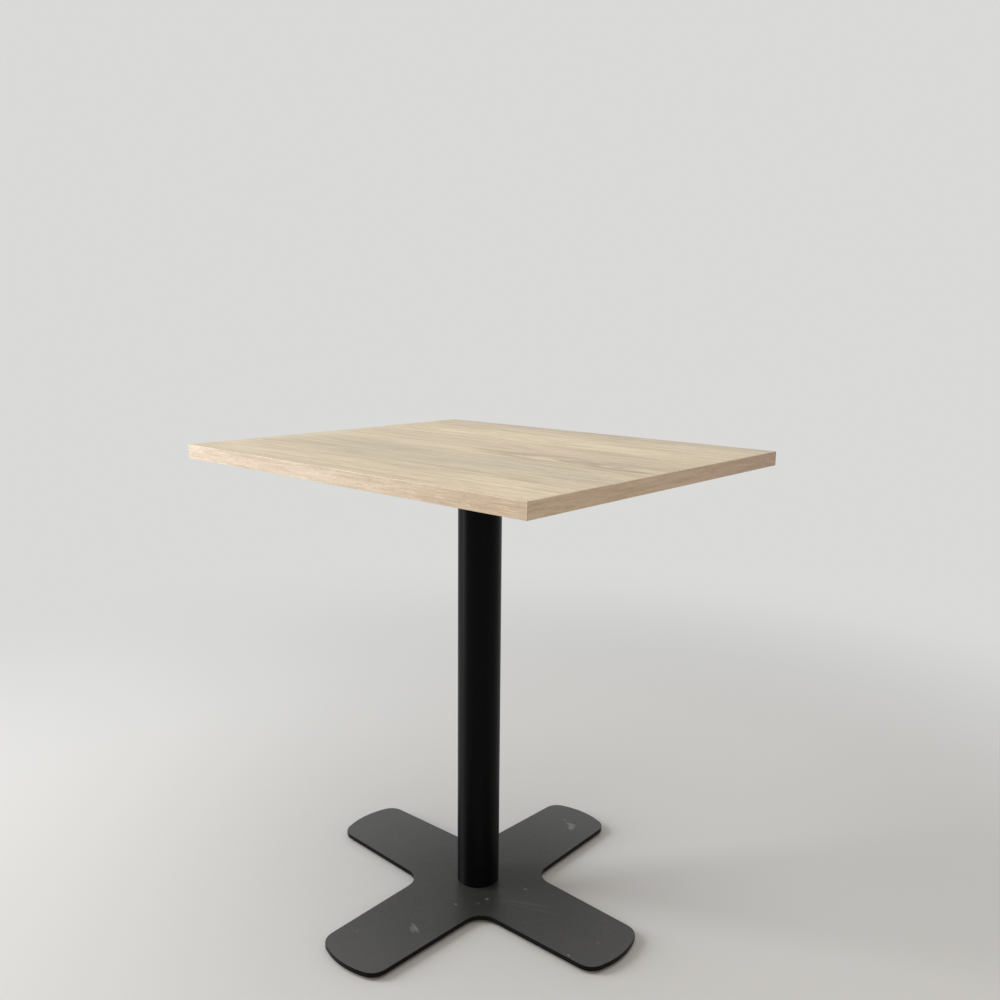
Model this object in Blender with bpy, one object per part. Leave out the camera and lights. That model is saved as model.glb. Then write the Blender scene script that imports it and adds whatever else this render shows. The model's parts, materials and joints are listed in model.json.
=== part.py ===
"""Canteen table: a laminated rectangular top on a round steel column and a flat cross base.

Metres, +Z up. The origin lies on the floor below the column's axis, and +X runs along the
long side of the top.
"""

import math

import bmesh
import bpy
from mathutils import Matrix, Vector

# Overall sizes
TABLE_HEIGHT = 0.750
TOP_LENGTH = 0.700
TOP_DEPTH = 0.600
TOP_THICKNESS = 0.022

# Top: a chipboard core with a decor sheet on each face and a band on each edge
SHEET_THICKNESS = 0.0008
BAND_THICKNESS = 0.0013
BAND_ARRIS = 0.0005

# Column: a steel tube with a tapped disc welded into each end
COLUMN_DIAMETER = 0.070
COLUMN_WALL = 0.0025
DISC_THICKNESS = 0.015

# Base: a four-armed plate, each arm narrowing from the axis to a bowed end
PLATE_THICKNESS = 0.008
PLATE_REACH = 0.297
PLATE_ROOT_WIDTH = 0.142
PLATE_TIP_WIDTH = 0.123
PLATE_END_RADIUS = 0.130
PLATE_CORNER_RADIUS = 0.028
PLATE_NOTCH_RADIUS = 0.032
PLATE_EDGE_RADIUS = 0.001

# Bracket: a smaller four-armed plate that carries the top
BRACKET_THICKNESS = 0.006
BRACKET_REACH = 0.200
BRACKET_ROOT_WIDTH = 0.086
BRACKET_TIP_WIDTH = 0.044
BRACKET_END_RADIUS = 0.150
BRACKET_CORNER_RADIUS = 0.010
BRACKET_NOTCH_RADIUS = 0.022

# Countersunk machine screws that hold the bracket and the base to the column's discs
BOLT_DIAMETER = 0.008
BOLT_LENGTH = 0.020
BOLT_HEAD_DIAMETER = 0.016
BOLT_SOCKET_WIDTH = 0.005
BOLT_SOCKET_DEPTH = 0.003
BOLT_END_CHAMFER = 0.001
BOLT_CIRCLE_RADIUS = 0.018

# Wood screws that hold the top to the bracket's arms, an outer and an inner one on each arm
SCREW_DIAMETER = 0.005
SCREW_LENGTH = 0.020
SCREW_POINT = 0.005
SCREW_HEAD_DIAMETER = 0.0095
SCREW_HEAD_HEIGHT = 0.0030
SCREW_HEAD_RIM = 0.0010
SCREW_RECESS_SPAN = 0.0046
SCREW_RECESS_WIDTH = 0.0012
SCREW_RECESS_DEPTH = 0.0018
SCREW_INSET = 0.022
SCREW_SPACING = 0.070

# Levelling glides: a threaded stud with a spanner flange, turning in a snap-on foot
GLIDE_INSET = 0.042
STUD_DIAMETER = 0.008
STUD_END_CHAMFER = 0.0008
BLIND_HOLE_SKIN = 0.0018
FLANGE_WIDTH = 0.014
FLANGE_THICKNESS = 0.0016
NECK_DIAMETER = 0.0060
BUTTON_DIAMETER = 0.0092
BUTTON_THICKNESS = 0.0007
PAD_DIAMETER = 0.032
PAD_FLOOR = 0.0007
PAD_LIP = 0.0008
PAD_EDGE = 0.0006

# Clearance between pieces that seat on, turn in or pass through each other
JOINT_GAP = 0.0003
# How far a cutting shape runs past the face that it cuts
CUT_OVERSHOOT = 0.001

# Fineness of the facets
ARC_STEP = math.radians(8)
COLUMN_STEPS = 64
PAD_STEPS = 28
FASTENER_STEPS = 20
EDGE_SEGMENTS = 2
DOME_STEPS = 3
SHARP_ANGLE = math.radians(32)
WELD_DISTANCE = 1e-6

# Heights that follow from the sizes above
PAD_CHAMBER = BUTTON_THICKNESS + 2 * JOINT_GAP
PAD_HEIGHT = PAD_FLOOR + PAD_CHAMBER + PAD_LIP
PLATE_BOTTOM = PAD_HEIGHT + JOINT_GAP + FLANGE_THICKNESS + JOINT_GAP
PLATE_TOP = PLATE_BOTTOM + PLATE_THICKNESS
TOP_UNDERSIDE = TABLE_HEIGHT - TOP_THICKNESS
BRACKET_TOP = TOP_UNDERSIDE - JOINT_GAP
BRACKET_BOTTOM = BRACKET_TOP - BRACKET_THICKNESS
COLUMN_BOTTOM = PLATE_TOP + JOINT_GAP
COLUMN_TOP = BRACKET_BOTTOM - JOINT_GAP
BOLT_CONE_HEIGHT = (BOLT_HEAD_DIAMETER - BOLT_DIAMETER) / 2
SCREW_SEAT = BRACKET_BOTTOM - JOINT_GAP
SCREW_TIP = SCREW_SEAT + SCREW_LENGTH

# The four arms, by the way each one points
ARMS = {"right": 0, "back": 90, "left": 180, "front": 270}
HALF_TURN = Matrix.Rotation(math.pi, 4, "X")


def clear_scene():
    for item in list(bpy.data.objects):
        bpy.data.objects.remove(item, do_unlink=True)


def finish(name, colour, roughness, metallic=0.0):
    """A plain surface finish; the colour is linear red, green and blue."""
    material = bpy.data.materials.new(name)
    material.use_nodes = True
    shader = material.node_tree.nodes["Principled BSDF"]
    shader.inputs["Base Color"].default_value = (*colour, 1.0)
    shader.inputs["Roughness"].default_value = roughness
    shader.inputs["Metallic"].default_value = metallic
    return material


def add_empty(name, height=0.0, parent=None):
    empty = bpy.data.objects.new(name, None)
    empty.location.z = height
    empty.parent = parent
    bpy.context.collection.objects.link(empty)
    return empty


def add_piece(name, mesh, material, parent, place=Matrix()):
    """One sub-part: an object of its own name at a place measured from its parent."""
    if not mesh.materials:
        mesh.materials.append(material)
    piece = bpy.data.objects.new(name, mesh)
    piece.parent = parent
    piece.matrix_local = place
    bpy.context.collection.objects.link(piece)
    return piece


def mesh_of(shape):
    """The shape as a mesh that is shaded smooth across its shallow edges."""
    mesh = bpy.data.meshes.new("shape")
    shape.to_mesh(mesh)
    shape.free()
    mesh.shade_smooth()
    mesh.set_sharp_from_angle(angle=SHARP_ANGLE)
    return mesh


def combined(mesh, other, operation):
    """The mesh with the other one cut from it or joined to it."""
    body = bpy.data.objects.new("body", mesh)
    tool = bpy.data.objects.new("tool", other)
    bpy.context.collection.objects.link(body)
    bpy.context.collection.objects.link(tool)
    boolean = body.modifiers.new("combine", "BOOLEAN")
    boolean.operation = operation
    boolean.object = tool
    graph = bpy.context.evaluated_depsgraph_get()
    result = bpy.data.meshes.new_from_object(body.evaluated_get(graph))
    for item in (body, tool):
        bpy.data.objects.remove(item)
    result.shade_smooth()
    result.set_sharp_from_angle(angle=SHARP_ANGLE)
    return result


def turned(profile, steps, closed=False, places=(Matrix(),)):
    """The solid that a profile of (radius, height) points sweeps about Z, once for each place."""
    shape = bmesh.new()
    for place in places:
        points = [shape.verts.new((radius, 0, height)) for radius, height in profile]
        ends = points[1:] + points[:1] if closed else points[1:]
        edges = [shape.edges.new(pair) for pair in zip(points, ends)]
        others = set(shape.verts) - set(points)
        bmesh.ops.spin(
            shape,
            geom=points + edges,
            cent=(0, 0, 0),
            axis=(0, 0, 1),
            angle=math.tau,
            steps=steps,
            use_merge=True,
        )
        swept = [point for point in shape.verts if point not in others]
        bmesh.ops.remove_doubles(shape, verts=swept, dist=WELD_DISTANCE)
        swept = [point for point in shape.verts if point not in others]
        bmesh.ops.transform(shape, matrix=place, verts=swept)
    bmesh.ops.recalc_face_normals(shape, faces=shape.faces)
    return shape


def lofted(loops):
    """The solid whose skin runs through matching loops of points, closed at the first and the last."""
    shape = bmesh.new()
    rings = [[shape.verts.new(point) for point in loop] for loop in loops]
    for ring, following in zip(rings, rings[1:]):
        for index in range(len(ring)):
            shape.faces.new((ring[index - 1], ring[index], following[index], following[index - 1]))
    shape.faces.new(rings[0])
    shape.faces.new(rings[-1])
    bmesh.ops.recalc_face_normals(shape, faces=shape.faces)
    return shape


def prism(outline, low, high):
    """A straight-sided solid between two heights with the outline as its section."""
    return lofted([[(point[0], point[1], height) for point in outline] for height in (low, high)])


def rectangle(length, depth):
    return [
        (-length / 2, -depth / 2),
        (length / 2, -depth / 2),
        (length / 2, depth / 2),
        (-length / 2, depth / 2),
    ]


def hexagon(width):
    """A hexagon of the given width across its flats."""
    radius = width / 2 / math.cos(math.pi / 6)
    return [(radius * math.cos(turn * math.pi / 3), radius * math.sin(turn * math.pi / 3)) for turn in range(6)]


def plus_sign(span, width):
    """The outline of two crossed bars."""
    quarter = [Vector((span / 2, -width / 2)), Vector((span / 2, width / 2)), Vector((width / 2, width / 2))]
    turns = [Matrix.Rotation(math.radians(angle), 2) for angle in ARMS.values()]
    return [turn @ point for turn in turns for point in quarter]


def arc(centre, radius, start, end):
    """Points along an arc, both of its ends included."""
    count = max(2, math.ceil(abs(end - start) / ARC_STEP))
    angles = [start + (end - start) * index / count for index in range(count + 1)]
    return [centre + radius * Vector((math.cos(angle), math.sin(angle))) for angle in angles]


def cross_outline(reach, root_width, tip_width, end_radius, corner_radius, notch_radius):
    """The outline of a four-armed plate.

    The sides of an arm run straight from the root width at the axis to the tip width at its
    reach. The arm ends in a bowed arc, a corner arc blends that into each side, and a notch
    arc blends each side into the next arm. Every arc meets its neighbours at a tangent.
    """
    slope = (tip_width - root_width) / 2 / reach
    lean = math.atan(slope)

    # The corner arc touches the side of the arm and lies against the inside of the end arc.
    end_centre = Vector((reach - end_radius, 0))
    offset = root_width / 2 - corner_radius / math.cos(lean)
    square = 1 + slope**2
    middle = end_centre.x - slope * offset
    rest = end_centre.x**2 + offset**2 - (end_radius - corner_radius) ** 2
    corner_x = (middle + math.sqrt(middle**2 - square * rest)) / square
    corner_centre = Vector((corner_x, offset + slope * corner_x))
    end_turn = math.atan2(corner_centre.y - end_centre.y, corner_centre.x - end_centre.x)

    # The notch arc is centred on the diagonal and touches the sides of both arms.
    notch = (root_width / 2 + notch_radius / math.cos(lean)) / (1 - slope)
    notch_centre = Vector((notch, notch))

    half = arc(end_centre, end_radius, 0, end_turn)
    half += arc(corner_centre, corner_radius, end_turn, math.pi / 2 + lean)[1:]
    half += arc(notch_centre, notch_radius, lean - math.pi / 2, -3 * math.pi / 4)
    mirrored = [Vector((point.x, -point.y)) for point in reversed(half)]
    arm = mirrored + half[1:-1]
    turns = [Matrix.Rotation(math.radians(angle), 2) for angle in ARMS.values()]
    return [turn @ point for turn in turns for point in arm]


def eased_steps(radius):
    """How far an arris of the given radius stands in from one face at each depth below the other."""
    angles = [math.pi / 2 * index / EDGE_SEGMENTS for index in range(EDGE_SEGMENTS + 1)]
    return [(radius - radius * math.sin(angle), radius - radius * math.cos(angle)) for angle in angles]


def inset(outline, distance):
    """The outline drawn in by a distance all round."""
    points = []
    for index, point in enumerate(outline):
        before = (point - outline[index - 1]).normalized()
        after = (outline[(index + 1) % len(outline)] - point).normalized()
        along = (before + after).normalized()
        points.append(point + distance / along.dot(after) * Vector((-along.y, along.x)))
    return points


def eased_plate(outline, thickness, edge_radius):
    """A plate from height 0 to its thickness, with the arris of both faces rounded."""
    steps = eased_steps(edge_radius)
    lower = [[(*point, rise) for point in inset(outline, step)] for step, rise in steps]
    upper = [[(*point, thickness - rise) for point in inset(outline, step)] for step, rise in reversed(steps)]
    return lofted(lower + upper)


def bolt_places(height, flip=Matrix()):
    """The four bolts stand on a circle about the column's axis, between the arms."""
    places = []
    for angle in ARMS.values():
        turn = Matrix.Rotation(math.radians(angle + 45), 4, "Z")
        places.append(turn @ Matrix.Translation((BOLT_CIRCLE_RADIUS, 0, height)) @ flip)
    return places


def screw_places(height):
    """Two wood screws along each arm of the bracket, by name."""
    outer = BRACKET_REACH - SCREW_INSET
    places = {}
    for arm, angle in ARMS.items():
        turn = Matrix.Rotation(math.radians(angle), 4, "Z")
        for spot, distance in (("outer", outer), ("inner", outer - SCREW_SPACING)):
            places[f"{arm}_{spot}"] = turn @ Matrix.Translation((distance, 0, height))
    return places


def glide_places(height):
    """One glide near the end of each arm of the base, by name."""
    places = {}
    for arm, angle in ARMS.items():
        turn = Matrix.Rotation(math.radians(angle), 4, "Z")
        places[arm] = turn @ Matrix.Translation((PLATE_REACH - GLIDE_INSET, 0, height))
    return places


def countersink(thickness, places):
    """Cutting shapes for bolts whose heads lie flush with the face at height 0 of their places."""
    head = BOLT_HEAD_DIAMETER / 2 + JOINT_GAP
    shank = BOLT_DIAMETER / 2 + JOINT_GAP
    bottom = -thickness - CUT_OVERSHOOT
    profile = [
        (0, CUT_OVERSHOOT),
        (head + CUT_OVERSHOOT, CUT_OVERSHOOT),
        (shank, -BOLT_CONE_HEIGHT),
        (shank, bottom),
        (0, bottom),
    ]
    return mesh_of(turned(profile, FASTENER_STEPS, places=places))


def drill(radius, low, high, places):
    """Cutting shapes for round holes between two heights of their places."""
    profile = [(0, high), (radius, high), (radius, low), (0, low)]
    return mesh_of(turned(profile, FASTENER_STEPS, places=places))


def bolt_mesh():
    """A countersunk bolt that hangs from its head at height 0, with a hexagon socket."""
    head = BOLT_HEAD_DIAMETER / 2
    shank = BOLT_DIAMETER / 2
    profile = [
        (0, 0),
        (head, 0),
        (shank, -BOLT_CONE_HEIGHT),
        (shank, BOLT_END_CHAMFER - BOLT_LENGTH),
        (shank - BOLT_END_CHAMFER, -BOLT_LENGTH),
        (0, -BOLT_LENGTH),
    ]
    body = mesh_of(turned(profile, FASTENER_STEPS))
    socket = mesh_of(prism(hexagon(BOLT_SOCKET_WIDTH), -BOLT_SOCKET_DEPTH, CUT_OVERSHOOT))
    return combined(body, socket, "DIFFERENCE")


def screw_mesh():
    """A round-headed wood screw that points up from its seat at height 0, with a cross recess."""
    head = SCREW_HEAD_DIAMETER / 2
    shank = SCREW_DIAMETER / 2
    dome = SCREW_HEAD_HEIGHT - SCREW_HEAD_RIM
    profile = [(0, SCREW_LENGTH), (shank, SCREW_LENGTH - SCREW_POINT), (shank, 0), (head, 0)]
    for index in range(DOME_STEPS):
        angle = math.pi / 2 * index / DOME_STEPS
        profile.append((head * math.cos(angle), -SCREW_HEAD_RIM - dome * math.sin(angle)))
    profile.append((0, -SCREW_HEAD_HEIGHT))
    body = mesh_of(turned(profile, FASTENER_STEPS))
    outline = plus_sign(SCREW_RECESS_SPAN, SCREW_RECESS_WIDTH)
    low = -SCREW_HEAD_HEIGHT - CUT_OVERSHOOT
    recess = mesh_of(prism(outline, low, SCREW_RECESS_DEPTH - SCREW_HEAD_HEIGHT))
    return combined(body, recess, "DIFFERENCE")


def stud_mesh():
    """A glide's stud, measured from the underside of the plate: thread, flange, neck and button."""
    thread = STUD_DIAMETER / 2
    neck = NECK_DIAMETER / 2
    button = BUTTON_DIAMETER / 2
    thread_top = PLATE_THICKNESS - BLIND_HOLE_SKIN - JOINT_GAP
    flange_top = -JOINT_GAP
    flange_bottom = flange_top - FLANGE_THICKNESS
    button_bottom = PAD_FLOOR + JOINT_GAP - PLATE_BOTTOM
    button_top = button_bottom + BUTTON_THICKNESS
    flange_middle = (flange_top + flange_bottom) / 2
    profile = [
        (0, thread_top),
        (thread - STUD_END_CHAMFER, thread_top),
        (thread, thread_top - STUD_END_CHAMFER),
        (thread, flange_middle),
        (neck, flange_middle),
        (neck, button_top),
        (button, button_top),
        (button, button_bottom),
        (0, button_bottom),
    ]
    body = mesh_of(turned(profile, FASTENER_STEPS))
    flange = mesh_of(prism(hexagon(FLANGE_WIDTH), flange_bottom, flange_top))
    return combined(body, flange, "UNION")


def pad_mesh():
    """A glide's foot, measured from the underside of the plate, with the stud's button in its chamber."""
    outer = PAD_DIAMETER / 2
    chamber = BUTTON_DIAMETER / 2 + JOINT_GAP
    mouth = NECK_DIAMETER / 2 + JOINT_GAP
    floor = -PLATE_BOTTOM
    profile = [
        (0, floor + PAD_FLOOR),
        (chamber, floor + PAD_FLOOR),
        (chamber, floor + PAD_FLOOR + PAD_CHAMBER),
        (mouth, floor + PAD_FLOOR + PAD_CHAMBER),
        (mouth, floor + PAD_HEIGHT),
        (outer - PAD_EDGE, floor + PAD_HEIGHT),
        (outer, floor + PAD_HEIGHT - PAD_EDGE),
        (outer, floor + PAD_EDGE),
        (outer - PAD_EDGE, floor),
        (0, floor),
    ]
    return mesh_of(turned(profile, PAD_STEPS))


def disc_mesh():
    """A tapped disc that fits the bore of the column, from height 0 up."""
    radius = COLUMN_DIAMETER / 2 - COLUMN_WALL - JOINT_GAP
    profile = [(0, DISC_THICKNESS), (radius, DISC_THICKNESS), (radius, 0), (0, 0)]
    blank = mesh_of(turned(profile, COLUMN_STEPS))
    low = -CUT_OVERSHOOT
    high = DISC_THICKNESS + CUT_OVERSHOOT
    holes = drill(BOLT_DIAMETER / 2 + JOINT_GAP, low, high, bolt_places(0))
    return combined(blank, holes, "DIFFERENCE")


def edge_band(length, ends_show):
    """A band along X whose outer face is at y = 0, with the arris of that face eased."""
    loops = []
    for step, rise in [*eased_steps(BAND_ARRIS), (0, BAND_THICKNESS)]:
        end = length / 2 - step if ends_show else length / 2
        high = TOP_THICKNESS - step
        loops.append([(-end, rise, step), (end, rise, step), (end, rise, high), (-end, rise, high)])
    return mesh_of(lofted(loops))


def build_top(parent):
    oak = finish("oak_decor", (0.66, 0.59, 0.45), 0.45)
    oak_band = finish("oak_band", (0.62, 0.52, 0.40), 0.5)
    backing = finish("backing_sheet", (0.55, 0.54, 0.51), 0.5)
    chipboard = finish("chipboard", (0.52, 0.37, 0.20), 0.9)

    top = add_empty("top", TOP_UNDERSIDE, parent)
    field_length = TOP_LENGTH - 2 * (BAND_THICKNESS + JOINT_GAP)
    field_depth = TOP_DEPTH - 2 * (BAND_THICKNESS + JOINT_GAP)
    field = rectangle(field_length, field_depth)
    core_low = SHEET_THICKNESS + JOINT_GAP
    core_high = TOP_THICKNESS - SHEET_THICKNESS - JOINT_GAP

    pilot_top = SCREW_TIP - TOP_UNDERSIDE + JOINT_GAP
    pilots = screw_places(0).values()
    radius = SCREW_DIAMETER / 2 + JOINT_GAP
    core = mesh_of(prism(field, core_low, core_high))
    core = combined(core, drill(radius, 0, pilot_top, pilots), "DIFFERENCE")
    add_piece("top_core", core, chipboard, top)

    sheet = mesh_of(prism(field, 0, SHEET_THICKNESS))
    sheet = combined(sheet, drill(radius, -CUT_OVERSHOOT, core_low, pilots), "DIFFERENCE")
    add_piece("backing_laminate", sheet, backing, top)
    decor = mesh_of(prism(field, TOP_THICKNESS - SHEET_THICKNESS, TOP_THICKNESS))
    add_piece("top_laminate", decor, oak, top)

    sides = {
        "front": (0, TOP_LENGTH, TOP_DEPTH / 2, True),
        "right": (90, field_depth, TOP_LENGTH / 2, False),
        "back": (180, TOP_LENGTH, TOP_DEPTH / 2, True),
        "left": (270, field_depth, TOP_LENGTH / 2, False),
    }
    for side, (angle, length, distance, ends_show) in sides.items():
        turn = Matrix.Rotation(math.radians(angle), 4, "Z")
        place = turn @ Matrix.Translation((0, -distance, 0))
        add_piece(f"edge_band_{side}", edge_band(length, ends_show), oak_band, top, place)


def build_bracket(parent):
    coat = finish("bracket_coat", (0.02, 0.02, 0.021), 0.5)
    zinc = finish("bright_zinc", (0.62, 0.62, 0.60), 0.35, metallic=1.0)

    bracket = add_empty("bracket", BRACKET_BOTTOM, parent)
    outline = cross_outline(
        BRACKET_REACH,
        BRACKET_ROOT_WIDTH,
        BRACKET_TIP_WIDTH,
        BRACKET_END_RADIUS,
        BRACKET_CORNER_RADIUS,
        BRACKET_NOTCH_RADIUS,
    )
    plate = mesh_of(prism(outline, 0, BRACKET_THICKNESS))
    plate = combined(plate, countersink(BRACKET_THICKNESS, bolt_places(BRACKET_THICKNESS)), "DIFFERENCE")
    radius = SCREW_DIAMETER / 2 + JOINT_GAP
    low = -CUT_OVERSHOOT
    high = BRACKET_THICKNESS + CUT_OVERSHOOT
    plate = combined(plate, drill(radius, low, high, screw_places(0).values()), "DIFFERENCE")
    add_piece("top_bracket", plate, coat, bracket)

    bolt = bolt_mesh()
    for number, place in enumerate(bolt_places(BRACKET_THICKNESS), 1):
        add_piece(f"bracket_bolt_{number}", bolt, zinc, bracket, place)
    screw = screw_mesh()
    for spot, place in screw_places(-JOINT_GAP).items():
        add_piece(f"top_screw_{spot}", screw, zinc, bracket, place)


def build_column(parent):
    coat = finish("column_coat", (0.008, 0.008, 0.009), 0.38)
    steel = finish("bare_steel", (0.36, 0.36, 0.37), 0.45, metallic=1.0)

    column = add_empty("column", COLUMN_BOTTOM, parent)
    length = COLUMN_TOP - COLUMN_BOTTOM
    outer = COLUMN_DIAMETER / 2
    inner = outer - COLUMN_WALL
    profile = [(outer, length), (outer, 0), (inner, 0), (inner, length)]
    add_piece("column_tube", mesh_of(turned(profile, COLUMN_STEPS, closed=True)), coat, column)
    disc = disc_mesh()
    add_piece("column_base_disc", disc, steel, column)
    raised = Matrix.Translation((0, 0, length - DISC_THICKNESS))
    add_piece("column_top_disc", disc, steel, column, raised)


def build_base(parent):
    coat = finish("base_coat", (0.045, 0.045, 0.046), 0.55)
    zinc = finish("black_zinc", (0.10, 0.10, 0.11), 0.4, metallic=1.0)
    stud_steel = finish("stud_steel", (0.55, 0.55, 0.54), 0.35, metallic=1.0)
    nylon = finish("black_nylon", (0.018, 0.018, 0.018), 0.6)

    base = add_empty("base", PLATE_BOTTOM, parent)
    outline = cross_outline(
        PLATE_REACH,
        PLATE_ROOT_WIDTH,
        PLATE_TIP_WIDTH,
        PLATE_END_RADIUS,
        PLATE_CORNER_RADIUS,
        PLATE_NOTCH_RADIUS,
    )
    plate = mesh_of(eased_plate(outline, PLATE_THICKNESS, PLATE_EDGE_RADIUS))
    plate = combined(plate, countersink(PLATE_THICKNESS, bolt_places(0, HALF_TURN)), "DIFFERENCE")
    radius = STUD_DIAMETER / 2 + JOINT_GAP
    depth = PLATE_THICKNESS - BLIND_HOLE_SKIN
    plate = combined(plate, drill(radius, -CUT_OVERSHOOT, depth, glide_places(0).values()), "DIFFERENCE")
    add_piece("base_plate", plate, coat, base)

    bolt = bolt_mesh()
    for number, place in enumerate(bolt_places(0, HALF_TURN), 1):
        add_piece(f"base_bolt_{number}", bolt, zinc, base, place)

    stud = stud_mesh()
    pad = pad_mesh()
    for arm, place in glide_places(0).items():
        glide = add_empty(f"glide_{arm}", parent=base)
        glide.matrix_local = place
        add_piece(f"glide_stud_{arm}", stud, stud_steel, glide)
        add_piece(f"glide_pad_{arm}", pad, nylon, glide)


def main():
    clear_scene()
    table = add_empty("table")
    build_top(table)
    build_bracket(table)
    build_column(table)
    build_base(table)


main()
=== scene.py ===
"""Looks of the canteen table: its finishes, fine shapes, light, floor and camera.

Metres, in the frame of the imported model: +Z up, the floor at z = 0 and the column on the Z axis.
Colours are linear red, green and blue.
"""

import json
import math

import bmesh
import bpy
from mathutils import Matrix, Vector

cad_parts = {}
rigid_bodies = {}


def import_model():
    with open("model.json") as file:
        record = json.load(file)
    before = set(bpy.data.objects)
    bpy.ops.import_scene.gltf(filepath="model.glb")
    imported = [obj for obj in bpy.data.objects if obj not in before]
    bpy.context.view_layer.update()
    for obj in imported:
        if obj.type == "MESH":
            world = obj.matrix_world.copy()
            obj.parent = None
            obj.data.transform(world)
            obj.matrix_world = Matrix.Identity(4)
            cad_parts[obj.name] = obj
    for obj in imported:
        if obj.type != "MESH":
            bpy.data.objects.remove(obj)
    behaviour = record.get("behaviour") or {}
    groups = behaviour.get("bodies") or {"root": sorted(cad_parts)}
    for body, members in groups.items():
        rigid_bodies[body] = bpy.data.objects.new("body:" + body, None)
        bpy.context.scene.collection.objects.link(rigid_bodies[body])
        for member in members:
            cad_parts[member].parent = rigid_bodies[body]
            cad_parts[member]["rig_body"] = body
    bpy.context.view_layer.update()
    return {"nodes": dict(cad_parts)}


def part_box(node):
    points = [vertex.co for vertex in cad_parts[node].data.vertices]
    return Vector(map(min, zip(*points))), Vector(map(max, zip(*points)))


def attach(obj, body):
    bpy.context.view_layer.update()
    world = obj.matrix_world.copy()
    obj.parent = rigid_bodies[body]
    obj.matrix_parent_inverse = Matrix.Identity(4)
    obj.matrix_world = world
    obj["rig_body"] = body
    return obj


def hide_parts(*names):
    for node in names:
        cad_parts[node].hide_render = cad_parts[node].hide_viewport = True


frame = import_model()
NODES = frame["nodes"]
ARMS = ("right", "back", "left", "front")
BOLT_NUMBERS = (1, 2, 3, 4)

# Camera
CAMERA_PLACE = (0.9989, -1.0703, 0.9370)
CAMERA_TURN = math.radians(41.793)
CAMERA_DIP = math.radians(10.447)
CAMERA_ROLL = math.radians(0.535)
CAMERA_LENS = 33.851
CAMERA_SENSOR = 36.0

# Light: a tall soft window on the left, a soft ceiling, an even surround,
# and a weak warm fill on the right that no gloss mirrors
AIM = (0.0, 0.0, 0.45)
WINDOW_PLACE = (-2.7, -2.25, 1.7)
WINDOW_SIZE = (1.7, 3.0)
WINDOW_POWER = 142.0
CEILING_PLACE = (0.2, 0.0, 3.2)
CEILING_SIZE = (3.0, 3.0)
CEILING_POWER = 34.5
FILL_PLACE = (2.4, -1.1, 1.5)
FILL_SIZE = (1.6, 1.6)
FILL_POWER = 9.6
FILL_COLOUR = (1.0, 0.60, 0.20)
PLAIN_LIGHT = (1.0, 1.0, 1.0)
SURROUND_LIGHT = (0.41, 0.41, 0.41)
BACKDROP = (0.70, 0.70, 0.69)

# Floor: a pale disc that fades into the backdrop
FLOOR_COLOUR = (0.62, 0.62, 0.61)
FLOOR_ROUGHNESS = 0.8
FLOOR_SPECULAR = 0.1
FLOOR_RADIUS = 9.0
FLOOR_STEPS = 128
FLOOR_FADE = (0.7, 2.2)

# Noise: its mean, and a narrow and a wide range that hold most of its values.
# Below, a noise is its scale, detail and roughness, and a stretch is how often it repeats in a metre.
# A facing is how far a face looks up where something starts and where it is full.
# An edge is where a patch starts to fade and where it ends, in shares of its half size.
NOISE_MEAN = 0.5
NOISE_RANGE = (0.3, 0.7)
NOISE_WIDE = (0.25, 0.75)

# Sockets of the Mix node for colours, by number because their names repeat
MIX_FACTOR = 0
MIX_FIRST = 6
MIX_SECOND = 7
MIX_RESULT = 2

# Oak decor: its colours on the top sheet and on the bands
OAK_CREAM = (0.755, 0.646, 0.445)
OAK_LIGHT = (0.678, 0.574, 0.403)
OAK_MIDDLE = (0.576, 0.479, 0.335)
OAK_DARK = (0.390, 0.310, 0.210)
OAK_STREAK = (0.340, 0.290, 0.213)
OAK_PORE = (0.270, 0.205, 0.130)
OAK_PINK = (0.612, 0.464, 0.342)
OAK_GREY = (0.500, 0.436, 0.325)
OAK_SAGE = (0.455, 0.410, 0.318)
OAK_TAN = (0.520, 0.412, 0.272)
OAK_PALE = (0.705, 0.628, 0.486)
OAK_YELLOW = (0.665, 0.558, 0.372)
BAND_LIGHT = (0.672, 0.560, 0.428)
BAND_MIDDLE = (0.605, 0.472, 0.355)
BAND_DARK = (0.420, 0.318, 0.215)
BAND_PINK = (0.670, 0.476, 0.370)
BAND_YELLOW = (0.665, 0.535, 0.380)
# Painted shade on the bands: a darker tan and rose towards one end of each
BAND_SHADE_TAN = (0.518, 0.390, 0.263)
BAND_SHADE_ROSE = (0.530, 0.385, 0.285)
# The bands' rubbed edges: a lighter colour for wear and for a painted highlight
BAND_RUBBED_HIGHLIGHT = (0.820, 0.740, 0.620)
TOP_COLOURS = (OAK_MIDDLE, OAK_LIGHT, OAK_DARK, OAK_PINK, OAK_YELLOW)
BAND_COLOURS = (BAND_MIDDLE, BAND_LIGHT, BAND_DARK, BAND_PINK, BAND_YELLOW)
OAK_ROUGHNESS = (0.40, 0.54)
OAK_SPECULAR = 0.4
OAK_BUMP = 0.00006
FIBRE_HEIGHT = 0.3

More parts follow.
